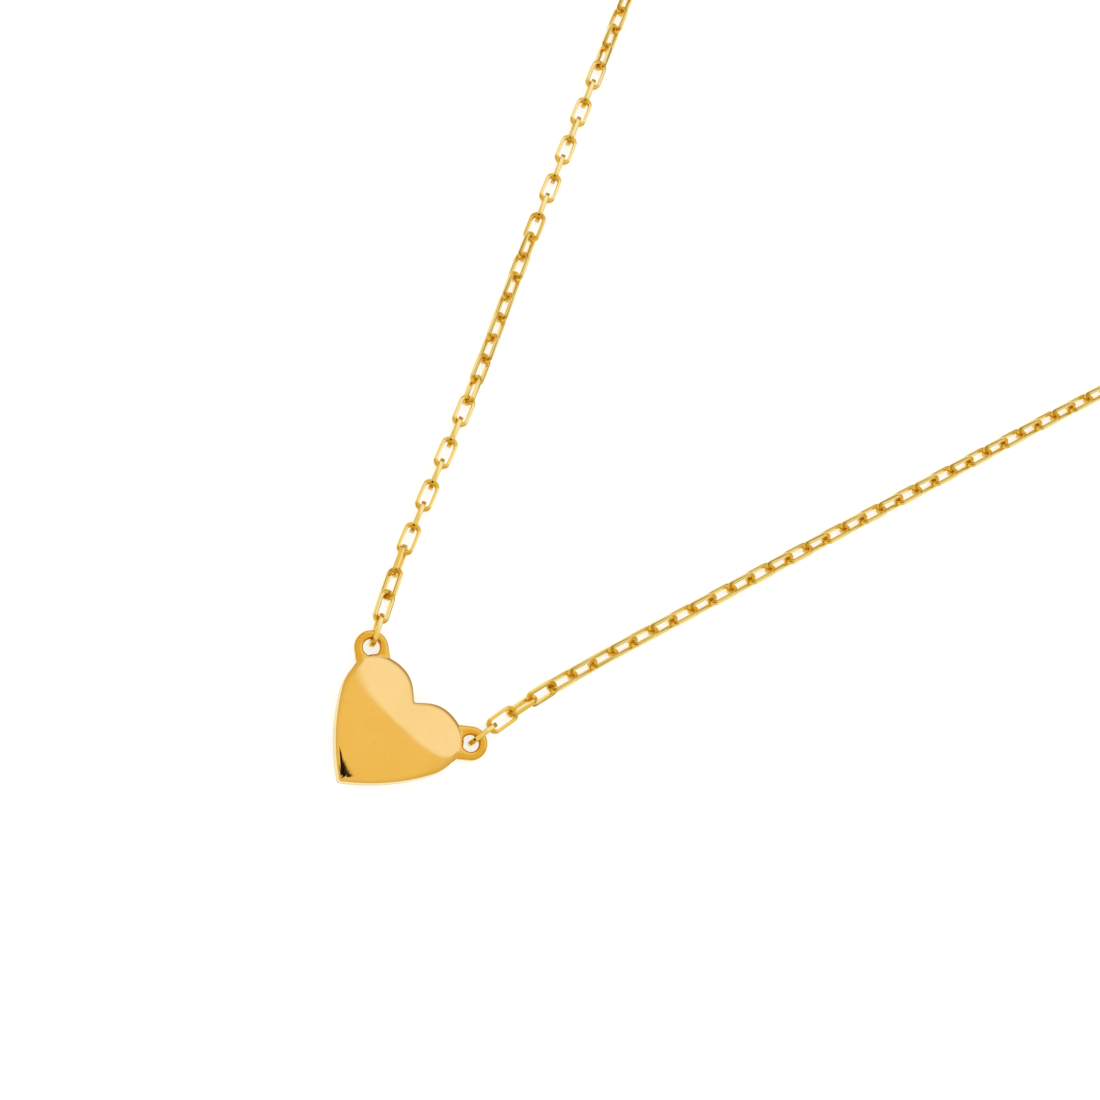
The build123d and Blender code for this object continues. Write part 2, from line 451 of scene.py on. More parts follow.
class InMillimetres:
    """Reads a settings group's lengths in millimetres, which the pieces are modelled in."""

    def __init__(self, group):
        self.group = group

    def __getattr__(self, name):
        value = getattr(self.group, name)
        if self.group.bl_rna.properties[name].unit != "LENGTH":
            return value
        return value / MM if isinstance(value, float) else Vector(value) / MM


class Socket:
    """A socket of a node tree. Arithmetic on it adds Math nodes."""

    def __init__(self, tree, socket=None):
        self.tree = tree
        self.socket = socket

    def add(self, kind, settings=None, values=None, output=0):
        """Adds a node of any kind, sets it up, fills its sockets and gives one output."""
        node = self.tree.nodes.new(kind)
        for name, value in (settings or {}).items():
            setattr(node, name, value)
        for name, value in (values or {}).items():
            if isinstance(value, Socket):
                self.tree.links.new(value.socket, node.inputs[name])
            else:
                node.inputs[name].default_value = value
        return None if output is None else Socket(self.tree, node.outputs[output])

    def maths(self, operation, *values):
        return self.add("ShaderNodeMath", {"operation": operation}, dict(enumerate(values)))

    def __add__(self, other):
        return self.maths("ADD", self, other)

    def __radd__(self, other):
        return self.maths("ADD", other, self)

    def __sub__(self, other):
        return self.maths("SUBTRACT", self, other)

    def __rsub__(self, other):
        return self.maths("SUBTRACT", other, self)

    def __mul__(self, other):
        return self.maths("MULTIPLY", self, other)

    def __rmul__(self, other):
        return self.maths("MULTIPLY", other, self)

    def __truediv__(self, other):
        return self.maths("DIVIDE", self, other)

    def __pow__(self, other):
        return self.maths("POWER", self, other)

    def __abs__(self):
        return self.maths("ABSOLUTE", self)

    def within(self, low, high):
        """0 below low, 1 above high and an even rise between."""
        values = {"Value": self, "From Min": low, "From Max": high}
        return self.add("ShaderNodeMapRange", {"clamp": True}, values)

    def mixed(self, first, second):
        """A colour between two, with this value as the share of the second."""
        settings = {"data_type": "RGBA", "clamp_factor": True}
        return self.add("ShaderNodeMix", settings, {0: self, 6: first, 7: second}, output=2)


def rgba(colour):
    return (*colour, 1.0)


def new_material(name):
    material = bpy.data.materials.new(name)
    material.use_nodes = True
    material.node_tree.nodes.clear()
    return material, Socket(material.node_tree)


def give_surface(start, shader):
    start.add("ShaderNodeOutputMaterial", None, {"Surface": shader}, output=None)


def gold_material(name, finish, colour, roughness, joints=False):
    """Polished gold with faint waves, fine scratches and small pits.

    With this flag set, painted shade darkens the links' ends, where they cross each other.
    """
    material, start = new_material(name)
    place = start.add("ShaderNodeTexCoord", output="Object")

    def noise(size, detail=2.0, stretch=1, turn=0.0):
        """Spots of a size in metres, drawn out into strokes by stretch."""
        turned = (0, 0, radians(turn))
        scale = (1 / size, stretch / size, 1 / size)
        values = {"Vector": place, "Rotation": turned, "Scale": scale}
        spread = start.add("ShaderNodeMapping", {"vector_type": "POINT"}, values)
        values = {"Vector": spread, "Scale": 1.0, "Detail": detail}
        return start.add("ShaderNodeTexNoise", None, values)

    waves = noise(WAVE_SIZE)
    grain = noise(GRAIN_SIZE, detail=4.0)
    pits = noise(PIT_SIZE, detail=1.0).within(*PIT_RISE)
    scratches = noise(SCRATCH_SIZE, stretch=SCRATCH_STRETCH, turn=SCRATCH_TURN)
    crossing = noise(CROSS_SCRATCH_SIZE, stretch=CROSS_SCRATCH_STRETCH, turn=CROSS_SCRATCH_TURN)
    marks = scratches.within(*SCRATCH_RISE) + crossing.within(*CROSS_SCRATCH_RISE)
    height = waves * WAVE_RISE + grain * GRAIN_RISE - marks * SCRATCH_DEPTH - pits * PIT_DEPTH
    relief = {"Strength": finish.wear, "Distance": RELIEF, "Height": height}
    dull_share = (waves - 0.5) * WAVE_DULLNESS + pits * PIT_DULLNESS + DULLNESS
    colour, dull = rgba(colour), rgba(finish.deep)
    if joints:
        spot = start.add("ShaderNodeUVMap", {"uv_map": LINK_MAP})
        along = start.add("ShaderNodeSeparateXYZ", None, {"Vector": spot}, "X")
        # Painted shade: the ends of each link, where its neighbours cross it, turn towards the
        # darker colour
        ends = (2 * abs(along - 0.5)).within(JOINT_SHADE_START, JOINT_SHADE_FULL)
        colour = ends.mixed(colour, rgba(finish.joints))
        dull_share = dull_share * LINK_DULLNESS
    worn = (grain - 0.5) * (GRAIN_ROUGHNESS * finish.wear)
    worn += marks * (MARK_ROUGHNESS * finish.wear)
    values = {
        "Base Color": dull_share.mixed(colour, dull),
        "Metallic": 1.0,
        "Roughness": roughness + worn,
        "Normal": start.add("ShaderNodeBump", None, relief),
    }
    give_surface(start, start.add("ShaderNodeBsdfPrincipled", None, values))
    return material


def floor_material(look):
    """The pale floor, which also gives off light."""
    material, start = new_material("pale floor")
    values = {
        "Base Color": rgba(look.floor), "Roughness": 0.9, "Specular IOR Level": 0.1,
        "Emission Color": (1, 1, 1, 1), "Emission Strength": look.floor_glow,
    }
    give_surface(start, start.add("ShaderNodeBsdfPrincipled", None, values))
    return material


def glow_material(name, shade):
    """The glow of part of the studio, in a colour that shade works out from the place in mm."""
    material, start = new_material(name)
    place = start.add("ShaderNodeTexCoord", output="Object")
    parts = [
        start.add("ShaderNodeSeparateXYZ", None, {"Vector": place}, axis) for axis in range(3)
    ]
    colour = shade(*[part * (1 / MM) for part in parts])
    give_surface(start, start.add("ShaderNodeEmission", None, {"Color": colour, "Strength": 1.0}))
    return material


def deselect_all():
    if bpy.context.object and bpy.context.object.mode != "OBJECT":
        bpy.ops.object.mode_set(mode="OBJECT")
    bpy.ops.object.select_all(action="DESELECT")


def select_only(*pieces):
    deselect_all()
    for piece in pieces:
        piece.select_set(True)
    bpy.context.view_layer.objects.active = pieces[0]


def named(name):
    """Names the active piece and its mesh."""
    piece = bpy.context.object
    piece.name = name
    piece.data.name = name
    return piece


def joined(name, *pieces):
    """Makes one piece of several."""
    select_only(*pieces)
    bpy.ops.object.join()
    return named(name)


def edit(piece):
    """Opens a piece in edit mode with all of it selected."""
    select_only(piece)
    bpy.ops.object.mode_set(mode="EDIT")
    bpy.ops.mesh.select_mode(type="VERT")
    bpy.ops.mesh.select_all(action="SELECT")


def select_edges(piece, wanted):
    """Selects the edges that wanted says yes to."""
    bpy.ops.mesh.select_mode(type="EDGE")
    bpy.ops.mesh.select_all(action="DESELECT")
    mesh = bmesh.from_edit_mesh(piece.data)
    chosen = [edge for edge in mesh.edges if wanted(edge)]
    if not chosen:
        raise RuntimeError(f"no edge of {piece.name} was found to select")
    for edge in chosen:
        edge.select_set(True)
    mesh.select_flush_mode()


def bevel_edges(piece, wanted, width, segments):
    """Rounds the edges that wanted says yes to."""
    select_edges(piece, wanted)
    bpy.ops.mesh.bevel(offset=width, segments=segments, affect="EDGES", clamp_overlap=False)


def is_sharp(edge):
    return edge.calc_face_angle(0) > SHARP


def is_open(edge):
    return edge.is_boundary


def bounds_cap(edge):
    """Whether an edge runs round a flat end, the only face with more than four corners."""
    return any(len(face.verts) > 4 for face in edge.link_faces)


def place_ring(piece, place):
    """Puts each selected vertex where place says, from where it is."""
    mesh = bmesh.from_edit_mesh(piece.data)
    for vertex in mesh.verts:
        if vertex.select:
            vertex.co = place(vertex.co)
    bmesh.update_edit_mesh(piece.data)


def next_ring(piece, place):
    """Extrudes the selected ring and puts the new one where place says."""
    bpy.ops.mesh.extrude_edges_move()
    place_ring(piece, place)


def close_up(piece):
    """Merges doubles and turns all faces outward."""
    edit(piece)
    bpy.ops.mesh.remove_doubles(threshold=DOUBLES)
    bpy.ops.mesh.normals_make_consistent(inside=False)
    bpy.ops.object.mode_set(mode="OBJECT")


def thicken(piece, thickness, bevel, segments):
    """Gives a flat ring its thickness, half of it to either side, and bevels its edges."""
    bpy.ops.mesh.select_all(action="SELECT")
    bpy.ops.mesh.extrude_region_move(TRANSFORM_OT_translate={"value": (0, 0, thickness)})
    bpy.ops.mesh.select_all(action="SELECT")
    bpy.ops.transform.translate(value=(0, 0, -thickness / 2))
    bpy.ops.mesh.normals_make_consistent(inside=False)
    bevel_edges(piece, is_sharp, bevel, segments)
    close_up(piece)


def apply_place(piece):
    select_only(piece)
    bpy.ops.object.transform_apply(location=True, rotation=True, scale=True)


def united(piece, other):
    """Solders another solid to a piece. Each keeps its own material."""
    select_only(piece)
    union = piece.modifiers.new("solder", "BOOLEAN")
    union.operation = "UNION"
    union.solver = "EXACT"
    union.material_mode = "TRANSFER"
    union.object = other
    bpy.ops.object.modifier_apply(modifier=union.name)
    bpy.data.objects.remove(other)


def finish_piece(piece, *nodes, smooth=35):
    """Brings a piece from millimetres to its real size, puts it on the root body and hides the CAD
    parts it replaces.

    Edges where faces meet at more than smooth, in degrees, stay sharp.
    """
    piece.scale = (MM, MM, MM)
    apply_place(piece)
    bpy.ops.object.shade_smooth_by_angle(angle=radians(smooth))
    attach(piece, "root")
    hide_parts(*nodes)


def arc(centre, radius, start, end, count):
    """Points and outward directions along an arc, without its last point."""
    angles = [start + (end - start) * step / count for step in range(count)]
    return [
        (Vector((centre[0] + radius * cos(angle), centre[1] + radius * sin(angle))),
         Vector((cos(angle), sin(angle))))
        for angle in angles
    ]


def heart_outline(size):
    """Points of the heart's edge and their outward directions, from the notch round."""
    slope = pi / 2 - size.notch_angle / 2
    top = size.height / 2
    lobe = Vector((size.width / 2 - size.lobe_radius, top - size.lobe_radius))
    inward, down = size.width / 2 - size.side_bend.x, lobe.y - size.side_bend.y
    side_radius = (inward**2 + down**2) / (2 * inward)
    side_centre = Vector((size.width / 2 - side_radius, lobe.y))
    side_angle = -asin(down / side_radius)
    bend_out = Vector((cos(side_angle), sin(side_angle)))
    to_tip = Vector((0, -size.sharp_tip)) - size.side_bend
    low_radius = -to_tip.length_squared / (2 * to_tip.dot(bend_out))
    low_centre = size.side_bend - low_radius * bend_out
    tip_reach = low_radius - size.tip_round
    tip_centre = Vector((0, low_centre.y - sqrt(tip_reach**2 - low_centre.x**2)))
    tip_angle = atan2(tip_centre.y - low_centre.y, -low_centre.x)
    lobe_start = pi / 2 + slope
    out = Vector((-sin(slope), cos(slope)))
    lobe_meets = lobe + out * size.lobe_radius
    notch_y = lobe_meets.y - lobe_meets.x * tan(slope)
    notch_centre = Vector((0, notch_y + size.notch_round / cos(slope)))

    # The notch is hollow, so its directions point towards the middle of its rounding
    points = []
    for step in range(NOTCH_STEPS):
        angle = slope * step / NOTCH_STEPS
        place = notch_centre + size.notch_round * Vector((sin(angle), -cos(angle)))
        points.append((place, Vector((-sin(angle), cos(angle)))))
    line_start = notch_centre + size.notch_round * Vector((sin(slope), -cos(slope)))
    for step in range(LINE_STEPS):
        points.append((line_start.lerp(lobe_meets, step / LINE_STEPS), out))
    for place, out in arc(lobe, size.lobe_radius, lobe_start, 0, LOBE_STEPS):
        beside = (atan2(out.y, out.x) - size.swell_at) / size.swell_spread
        points.append((place + size.swell * exp(-beside * beside) * out, out))
    points += arc(side_centre, side_radius, 0, side_angle, SIDE_STEPS)
    points += arc(low_centre, low_radius, side_angle, tip_angle, LOW_STEPS)
    points += arc(tip_centre, size.tip_round, tip_angle, -pi / 2, TIP_STEPS)
    points.append((tip_centre - Vector((0, size.tip_round)), Vector((0, -1))))
    mirrored = [(Vector((-p.x, p.y)), Vector((-n.x, n.y))) for p, n in reversed(points[1:-1])]
    return points + mirrored


def heart_body(size):
    """The heart without its lugs, drawn in ring by ring from its wall to its domed middle."""
    outline = heart_outline(size)
    middle = Vector((0, FACE_MIDDLE))
    crown_radius = ((size.width / 2) ** 2 + size.crown_rise**2) / (2 * size.crown_rise)

    # For each direction from the middle, the way to the edge and its distance square to it
    supports = {}
    for place, out in outline:
        ray = place - middle
        supports[round(atan2(ray.x, ray.y), 3)] = (ray, ray.dot(out))
    if len(supports) != len(outline):
        raise RuntimeError("two points of the heart's outline lie in one direction")

    def dome(x, y):
        return size.crest - crown_radius + sqrt(crown_radius**2 - x * x - y * y)

    def rim_drop(inward):
        """How far the rim falls below the dome at a distance inward from the edge."""
        bend = max(size.rim_width - inward, 0)
        edge = max(1 - inward / size.rim_round, 0)
        fall = tan(size.rim_slope) * bend**2 / (2 * size.rim_width)
        return fall + ROUNDING_DEPTH * size.rim_round * (1 - sqrt(1 - edge**2))

    def ring_place(co, inward, share=0.0):
        """The place inward from the edge, and then a share of the way to the middle."""
        direction = Vector((co.x, co.y)) - middle
        ray, support = supports[round(atan2(direction.x, direction.y), 3)]
        kept = (1 - inward / support) * (1 - share)
        place = middle + ray * kept
        return Vector((place.x, place.y, dome(place.x, place.y) - rim_drop(inward)))

    deselect_all()
    bpy.ops.mesh.primitive_circle_add(vertices=len(outline), radius=1, fill_type="NOTHING")
    heart = named("heart")
    for vertex, (place, _) in zip(heart.data.vertices, outline):
        vertex.co = (place.x, place.y, 0)
    edit(heart)
    next_ring(heart, lambda co: ring_place(co, 0.0))
    inward_steps = [share * size.rim_round for share in ROUNDING_RINGS]
    inward_steps += [share * size.rim_width for share in SHOULDER_RINGS]
    for inward in inward_steps:
        next_ring(heart, lambda co: ring_place(co, inward))
    for number in range(1, FACE_RINGS):
        next_ring(heart, lambda co: ring_place(co, size.rim_width, number / FACE_RINGS))
    bpy.ops.mesh.edge_face_add()
    bpy.ops.mesh.poke()
    mesh = bmesh.from_edit_mesh(heart.data)
    peak = min(mesh.verts, key=lambda vertex: (vertex.co.xy - middle).length)
    peak.co = (*middle, dome(*middle))
    select_edges(heart, is_open)
    bpy.ops.mesh.edge_face_add()
    bevel_edges(heart, bounds_cap, size.back_bevel, 2)
    close_up(heart)
    return heart


def lug_centre(heart, lug, side):
    """The middle of a lug, with side -1 for the left one."""
    reach = heart.lobe_radius + lug.diameter / 2 - lug.overlap
    x = heart.width / 2 - heart.lobe_radius + reach * cos(lug.direction)
    y = heart.height / 2 - heart.lobe_radius + reach * sin(lug.direction)
    return Vector((side * x, y))


def soldered_eye(name, centre, toward, diameter, hole, thickness, bevel):
    """A flat ring whose outer edge runs straight on into the piece that it is soldered to."""
    deselect_all()
    bpy.ops.mesh.primitive_circle_add(vertices=96, radius=diameter / 2, fill_type="NOTHING")
    piece = named(name)
    edit(piece)

    def outer(place):
        """On the round rim, or on one of the flanks where that faces the piece."""
        angle = atan2(place.y, place.x) - toward
        stretch = 1 / max(abs(sin(angle)), 1 / FLANK_REACH) if cos(angle) > 0 else 1
        return diameter / 2 * stretch * place.normalized()

    place_ring(piece, outer)
    next_ring(piece, lambda place: hole / 2 * place.normalized())
    thicken(piece, thickness, bevel, 4)
    piece.location = centre
    apply_place(piece)
    return piece


class NECKLACE_OT_heart(bpy.types.Operator):
    """Model the domed heart and solder its two lugs on"""

    bl_idname = "necklace.heart"
    bl_label = "Heart and lugs"

    def execute(self, context):
        size = InMillimetres(context.scene.necklace_heart)
        lug = InMillimetres(context.scene.necklace_lug)
        chain = InMillimetres(context.scene.necklace_chain)
        finish = context.scene.necklace_gold
        heart = heart_body(size)
        heart.data.materials.append(
            gold_material("heart gold", finish, finish.colour, finish.polish))
        dull = gold_material("lug gold", finish, finish.deep, finish.wire_polish)
        lobe = Vector((size.width / 2 - size.lobe_radius, size.height / 2 - size.lobe_radius))
        for side in (-1, 1):
            centre = lug_centre(size, lug, side)
            toward = atan2(lobe.y - centre.y, side * lobe.x - centre.x)
            eye = soldered_eye(
                "lug", (*centre, chain.height), toward, lug.diameter, lug.hole, lug.thickness,
                lug.bevel)
            eye.data.materials.append(dull)
            united(heart, eye)
        close_up(heart)
        finish_piece(heart, "heart_pendant", smooth=32)
        return {"FINISHED"}


def strand_line(places):
    """A smooth line through the middle of a strand, as points a short step apart."""
    curve = bpy.data.curves.new("strand", "CURVE")
    curve.dimensions = "3D"
    curve.resolution_u = 40
    spline = curve.splines.new("NURBS")
    spline.points.add(len(places) - 1)
    for point, place in zip(spline.points, places):
        point.co = (*place, 1.0)
    spline.order_u = 3
    spline.use_endpoint_u = True
    strand = bpy.data.objects.new("strand", curve)
    bpy.context.scene.collection.objects.link(strand)
    bpy.context.view_layer.update()
    mesh = bpy.data.meshes.new_from_object(strand)
    line = [vertex.co.copy() for vertex in mesh.vertices]
    bpy.data.objects.remove(strand)
    bpy.data.meshes.remove(mesh)
    return line


def at_distance(line, lengths, distance):
    """The place and direction at a distance along a line."""
    for number in range(1, len(line)):
        if lengths[number] >= distance or number == len(line) - 1:
            run = lengths[number] - lengths[number - 1]
            share = (distance - lengths[number - 1]) / run
            along = (line[number] - line[number - 1]).normalized()
            return line[number - 1].lerp(line[number], share), along


def rolled(place, along, roll):
    """A placement that holds the direction along, lies level at roll 0 and stands at 90."""
    side = Vector((0, 0, 1)).cross(along).normalized()
    level = along.cross(side).normalized()
    normal = level * cos(roll) + side * sin(roll)
    across = normal.cross(along)
    turned = Matrix((along, across, normal)).transposed().to_4x4()
    return Matrix.Translation(place) @ turned


def twist_at(table, number):
    """The roll of an even link, read between the rows of a twist table."""
    for (low, start), (high, end) in zip(table, table[1:]):
        if number <= high:
            return radians(start + (end - start) * (number - low) / (high - low))
    return radians(table[-1][1])


def link_distances(size, first, pitch, last):
    """Where on the strand the links' middles are, from the first to the last.

    The even links keep the pitch, and those beyond them share what is left.
    """
    even = [first + number * pitch for number in range(size.shown)]
    room = last - even[-1]
    count = round(room / pitch)
    return even + [even[-1] + room * number / count for number in range(1, count + 1)]


def model_link(size):
    """One link of faceted wire, lying flat with its length along X."""
    deselect_all()
    bpy.ops.mesh.primitive_plane_add(size=1)
    link = named("link")
    link.scale = (size.length, size.width, 1)
    apply_place(link)
    edit(link)
    bpy.ops.mesh.bevel(offset=size.corner, segments=5, affect="VERTICES")
    bpy.ops.mesh.select_all(action="SELECT")
    bpy.ops.mesh.inset(thickness=size.wire)
    shorter = (size.length / 2 - size.end_wire) / (size.length / 2 - size.wire)
    place_ring(link, lambda place: Vector((place.x * shorter, place.y, 0)))
    bpy.ops.mesh.delete(type="FACE")
    thicken(link, size.thickness, size.facet, 3)
    places = link.data.uv_layers.new(name=LINK_MAP)
    for loop in link.data.loops:
        spot = link.data.vertices[loop.vertex_index].co
        places.data[loop.index].uv = (spot.x / size.length + 0.5, spot.y / size.width + 0.5)
    return link


class NECKLACE_OT_chain(bpy.types.Operator):
    """Model one link and lay copies of it along both strands"""

    bl_idname = "necklace.chain"
    bl_label = "Chain"

    def execute(self, context):
        size = InMillimetres(context.scene.necklace_chain)
        heart = InMillimetres(context.scene.necklace_heart)
        lug = InMillimetres(context.scene.necklace_lug)
        finish = context.scene.necklace_gold
        # The chain's gold gets painted shade at the links' ends, where they cross each other
        gold = gold_material("chain gold", finish, finish.wire, finish.wire_polish, joints=True)
        link = model_link(size)
        strands = [
            ("left", -1, LEFT_ROUTE, LEFT_TWIST, size.first_left, size.pitch, eyelet_end(context)),
            ("right", 1, RIGHT_ROUTE, RIGHT_TWIST, size.first_right, size.pitch_right,
             end_ring_foot(context)),
        ]
        for name, side, route, twist, first, pitch, (end, last) in strands:
            start = Vector((*lug_centre(heart, lug, side), size.height))
            approach = end + Vector((side * APPROACH, 0, size.height - end.z))
            places = [start] + [Vector((x, y, size.height)) for x, y in route] + [approach, end]
            line = strand_line(places)
            lengths = [0.0]
            for before, after in zip(line, line[1:]):
                lengths.append(lengths[-1] + (after - before).length)
            distances = link_distances(size, first, pitch, lengths[-1] - last)
            chance = random.Random(size.seed + side)
            copies = []
            for number, distance in enumerate(distances):
                place, along = at_distance(line, lengths, distance)
                roll = twist_at(twist, number) + pi / 2 * (number % 2)
                roll += chance.uniform(-size.uneven, size.uneven)
                copy = link.copy()
                copy.data = link.data.copy()
                context.scene.collection.objects.link(copy)
                copy.matrix_world = rolled(place, along, roll)
                copies.append(copy)
            print(f"chain_{name}: {len(copies)} links")
            chain = joined(f"chain_{name}", *copies)
            apply_place(chain)
            chain.data.materials.append(gold)
            finish_piece(chain, f"chain_{name}_links", f"chain_{name}_back", smooth=28)
        bpy.data.objects.remove(link)
        return {"FINISHED"}


def clasp_placement(clasp):
    """The tilted place of the spring ring."""
    return Matrix.Translation(clasp.place) @ Matrix.Rotation(-clasp.tilt, 4, "Y")


def eyelet_centre(context):
    """The middle of the level eyelet that stands against the near side of the tube."""
    clasp = InMillimetres(context.scene.necklace_clasp)
    chain = InMillimetres(context.scene.necklace_chain)
    side = (clasp.diameter - clasp.tube) / 2 * cos(clasp.tilt) + clasp.tube / 2
    reach = side + clasp.eyelet / 2 - clasp.eyelet_overlap
    return Vector((clasp.place.x - reach, clasp.place.y, chain.height))


def eyelet_end(context):
    """Where the left strand ends, and how far before it the last link's middle is."""
    return eyelet_centre(context), context.scene.necklace_chain.last / MM


def end_ring_axis(ring):
    return Vector((cos(ring.drop), 0, -sin(ring.drop)))


def end_ring_centre(context):
    clasp = InMillimetres(context.scene.necklace_clasp)
    ring = InMillimetres(context.scene.necklace_end_ring)
    clasp_radius = (clasp.diameter - clasp.tube) / 2
    far_side = clasp_placement(clasp) @ Vector((clasp_radius, 0, 0))
    reach = (ring.diameter - ring.wire) / 2 - (ring.wire + clasp.tube) / 2 - ring.slack
    return far_side + end_ring_axis(ring) * reach


def end_ring_foot(context):
    """Where the right strand ends, and how far before it the last link's middle is."""
    chain = InMillimetres(context.scene.necklace_chain)
    ring = InMillimetres(context.scene.necklace_end_ring)
    radius = (ring.diameter - ring.wire) / 2
    foot = end_ring_centre(context) + end_ring_axis(ring) * radius
    return foot, chain.length / 2 - chain.end_wire - ring.wire / 2 - LINK_PLAY


def bent_rod(name, radius, thickness, start, end, steps=64):
    """A round rod bent along part of a circle about Z, closed at both ends."""
    deselect_all()
    bpy.ops.mesh.primitive_circle_add(vertices=24, radius=thickness / 2, fill_type="NOTHING")
    rod = named(name)
    upright = Matrix.Translation((radius, 0, 0)) @ Matrix.Rotation(pi / 2, 4, "X")
    rod.matrix_world = Matrix.Rotation(end, 4, "Z") @ upright
    apply_place(rod)
    edit(rod)
    turn = end - start
    bpy.ops.mesh.spin(steps=steps, angle=turn, center=(0, 0, 0), axis=(0, 0, 1), dupli=False)
    select_edges(rod, is_open)
    bpy.ops.mesh.fill_holes(sides=0)
    close_up(rod)
    return rod


def ease_ends(rod, width):
    """Rounds the two end edges of a rod."""
    edit(rod)
    bevel_edges(rod, bounds_cap, width, 2)
    bpy.ops.object.mode_set(mode="OBJECT")


def trigger_knob(size):
    """The knob that draws the bolt back, with its foot inside the tube."""
    tip = -size.diameter / 2 - size.trigger_length
    length = size.trigger_length + size.tube / 2
    deselect_all()
    bpy.ops.mesh.primitive_cylinder_add(
        vertices=32, radius=size.trigger / 2, depth=length, rotation=(pi / 2, 0, 0),
        location=(0, tip + length / 2, 0))
    knob = named("knob")
    apply_place(knob)

    def at_tip(edge):
        return all(vertex.co.y < tip + DOUBLES for vertex in edge.verts)

    edit(knob)
    bevel_edges(knob, at_tip, size.trigger * TRIGGER_ROUNDING, 4)
    close_up(knob)
    return knob


class NECKLACE_OT_clasp(bpy.types.Operator):
    """Model the spring ring clasp with its bolt, trigger and eyelet"""

    bl_idname = "necklace.clasp"
    bl_label = "Spring ring clasp"

    def execute(self, context):
        size = InMillimetres(context.scene.necklace_clasp)
        lug = InMillimetres(context.scene.necklace_lug)
        finish = context.scene.necklace_gold
        gold = gold_material("clasp gold", finish, finish.wire, finish.wire_polish)
        radius = (size.diameter - size.tube) / 2
        tube = bent_rod("spring_ring", radius, size.tube, *map(radians, TUBE_SPAN))
        ease_ends(tube, TUBE_ROUNDING)
        bolt = bent_rod("bolt", radius, size.bolt, *map(radians, BOLT_SPAN), steps=36)
        clasp = joined("clasp", tube, bolt, trigger_knob(size))
        clasp.matrix_world = clasp_placement(size)
        apply_place(clasp)
        eye = soldered_eye(
            "eyelet", eyelet_centre(context), 0.0, size.eyelet, size.eyelet_hole,
            size.eyelet_thickness, lug.bevel)
        clasp = joined("clasp", clasp, eye)
        clasp.data.materials.append(gold)
        finish_piece(clasp, "spring_ring_clasp")
        return {"FINISHED"}


class NECKLACE_OT_end_ring(bpy.types.Operator):
    """Model the end ring that the clasp is hooked into"""

    bl_idname = "necklace.end_ring"
    bl_label = "End ring"

    def execute(self, context):
        size = InMillimetres(context.scene.necklace_end_ring)
        finish = context.scene.necklace_gold
        radius = (size.diameter - size.wire) / 2
        gap = size.seam / radius
        seam_at = radians(SEAM_AT)
        ring = bent_rod("closed_ring", radius, size.wire, seam_at + gap, seam_at + 2 * pi)
        ease_ends(ring, WIRE_ROUNDING)
        ring.matrix_world = rolled(end_ring_centre(context), end_ring_axis(size), size.lean)
        apply_place(ring)
        ring.data.materials.append(
            gold_material("end ring gold", finish, finish.wire, finish.wire_polish))
        finish_piece(ring, "end_ring")
        return {"FINISHED"}


def only_reflected(name, shade):
    """Makes the newest primitive a part of the studio that the polished metal alone shows."""
    piece = named(name)
    apply_place(piece)
    piece.data.materials.append(glow_material(name, shade))
    piece.visible_camera = False
    piece.visible_shadow = False
    piece.visible_diffuse = False
    return piece


def add_floor(look):
    """The pale floor that the camera sees, and the glowing one that the metal mirrors."""
    deselect_all()
    bpy.ops.mesh.primitive_plane_add(size=FLOOR_WIDTH, location=(0, 0, -FLOOR_DROP))
    floor = named("floor")
    apply_place(floor)
    floor.data.materials.append(floor_material(look))
    floor.visible_glossy = False
    bpy.ops.mesh.primitive_plane_add(size=FLOOR_WIDTH, location=(0, 0, -MIRRORED_DROP))
    only_reflected("mirrored_floor", lambda x, y, z: rgba(look.floor_seen))


def add_studio(look):
    """The lights overhead, the wall all round and the black card, for the metal to mirror."""

    def overhead_shade(x, y, z):
        """White behind the pendant and warm in front of it, dimmer towards their ends."""
        across = abs(x - EDGE_X) / EDGE_SPAN
        near = x.maths("MINIMUM", across, EDGE_BOW_END)
        bow = EDGE_BOW_SQUARED * near**2 + EDGE_BOW_FOURTH * near**4
        edge = EDGE_Y + bow + EDGE_SLOPE * (across - near)
        softness = EDGE_SOFT + EDGE_SOFTER * (0 - x).within(SOFTER_FROM, SOFTER_TO)
        warm_share = ((edge - y) / softness).within(-0.5, 0.5)
        white = y.within(*WHITE_FADE).mixed(rgba(look.white), rgba(look.white_end))
        reach = (x * x + y * y) ** 0.5
        warm = reach.within(*WARM_FADE).mixed(rgba(look.warm), rgba(look.warm_end))
        return warm_share.mixed(white, warm)

    def wall_shade(x, y, z):
        return z.within(*WALL_FADE).mixed(rgba(look.wall_foot), rgba(look.wall_top))

    bpy.ops.mesh.primitive_plane_add(size=CEILING_WIDTH, location=(0, 0, look.height))
    only_reflected("overhead", overhead_shade)
    bpy.ops.mesh.primitive_cylinder_add(
        vertices=64, radius=WALL_RADIUS, depth=look.height, end_fill_type="NOTHING",
        location=(0, 0, look.height / 2))
    only_reflected("wall", wall_shade)
    bpy.ops.mesh.primitive_circle_add(vertices=len(BLACK_CARD), radius=1, fill_type="NGON")
    card = only_reflected("black_card", lambda x, y, z: rgba(look.black))
    for vertex, (x, y) in zip(card.data.vertices, BLACK_CARD):
        vertex.co = (x * MM, y * MM, look.height - CARD_DROP)


def add_room_light(scene, look):
    world = bpy.data.worlds.new("studio room")
    world.use_nodes = True
    world.node_tree.nodes.clear()
    room = Socket(world.node_tree)
    values = {"Color": (1, 1, 1, 1), "Strength": look.room}
    light = room.add("ShaderNodeBackground", None, values)
    room.add("ShaderNodeOutputWorld", None, {"Surface": light}, output=None)
    scene.world = world


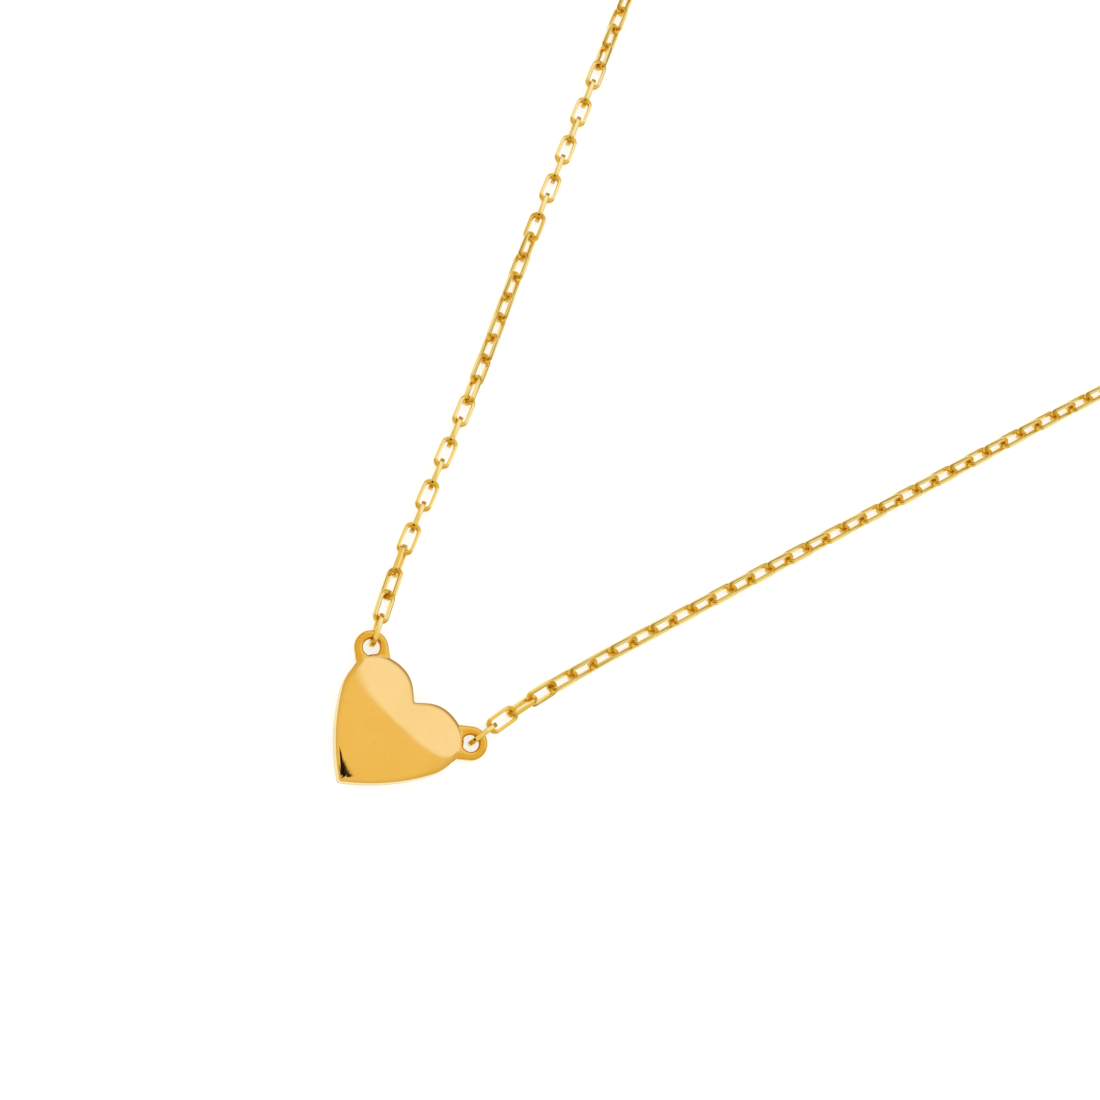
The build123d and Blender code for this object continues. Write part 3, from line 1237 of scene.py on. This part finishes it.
def add_camera(scene, look):
    lens = bpy.data.cameras.new("camera")
    lens.sensor_width = 36
    lens.lens = look.lens
    lens.clip_start, lens.clip_end = 0.001, 10
    camera = bpy.data.objects.new("camera", lens)
    scene.collection.objects.link(camera)
    turn = Matrix.Rotation(look.turn, 4, "Z")
    tilt = Matrix.Rotation(look.tilt, 4, "X")
    roll = Matrix.Rotation(look.roll, 4, "Z")
    away = Matrix.Translation((0, 0, look.distance))
    camera.matrix_world = Matrix.Translation(look.aim) @ turn @ tilt @ away @ roll
    scene.camera = camera


class NECKLACE_OT_stage(bpy.types.Operator):
    """Set up the pale floor, the studio cards, the room light and the camera"""

    bl_idname = "necklace.stage"
    bl_label = "Floor, light and camera"

    def execute(self, context):
        look = context.scene.necklace_studio
        add_floor(look)
        add_studio(look)
        add_room_light(context.scene, look)
        add_camera(context.scene, look)
        context.scene.view_settings.view_transform = "Standard"
        return {"FINISHED"}


class NECKLACE_PT_panel(bpy.types.Panel):
    """Lists the pieces of the necklace with their sizes"""

    bl_idname = "NECKLACE_PT_panel"
    bl_label = "Heart pendant necklace"
    bl_space_type = "VIEW_3D"
    bl_region_type = "UI"
    bl_category = "Necklace"

    def draw(self, context):
        for operator, groups in STEPS:
            box = self.layout.box()
            box.operator(operator.bl_idname)
            for group in groups:
                settings = getattr(context.scene, group)
                for name in settings.bl_rna.properties.keys():
                    if name not in ("rna_type", "name"):
                        box.prop(settings, name)


GROUPS = {
    "necklace_heart": HeartSizes,
    "necklace_lug": LugSizes,
    "necklace_chain": ChainSizes,
    "necklace_clasp": ClaspSizes,
    "necklace_end_ring": EndRingSizes,
    "necklace_gold": GoldFinish,
    "necklace_studio": StudioLook,
}
STEPS = [
    (NECKLACE_OT_heart, ["necklace_heart", "necklace_lug", "necklace_gold"]),
    (NECKLACE_OT_chain, ["necklace_chain"]),
    (NECKLACE_OT_clasp, ["necklace_clasp"]),
    (NECKLACE_OT_end_ring, ["necklace_end_ring"]),
    (NECKLACE_OT_stage, ["necklace_studio"]),
]


def register():
    for name, group in GROUPS.items():
        bpy.utils.register_class(group)
        setattr(bpy.types.Scene, name, PointerProperty(type=group))
    for operator, _ in STEPS:
        bpy.utils.register_class(operator)
    bpy.utils.register_class(NECKLACE_PT_panel)


def unregister():
    bpy.utils.unregister_class(NECKLACE_PT_panel)
    for operator, _ in reversed(STEPS):
        bpy.utils.unregister_class(operator)
    for name, group in reversed(GROUPS.items()):
        delattr(bpy.types.Scene, name)
        bpy.utils.unregister_class(group)


def main():
    register()
    bpy.ops.necklace.heart()
    bpy.ops.necklace.chain()
    bpy.ops.necklace.clasp()
    bpy.ops.necklace.end_ring()
    bpy.ops.necklace.stage()


if __name__ == "__main__":
    main()
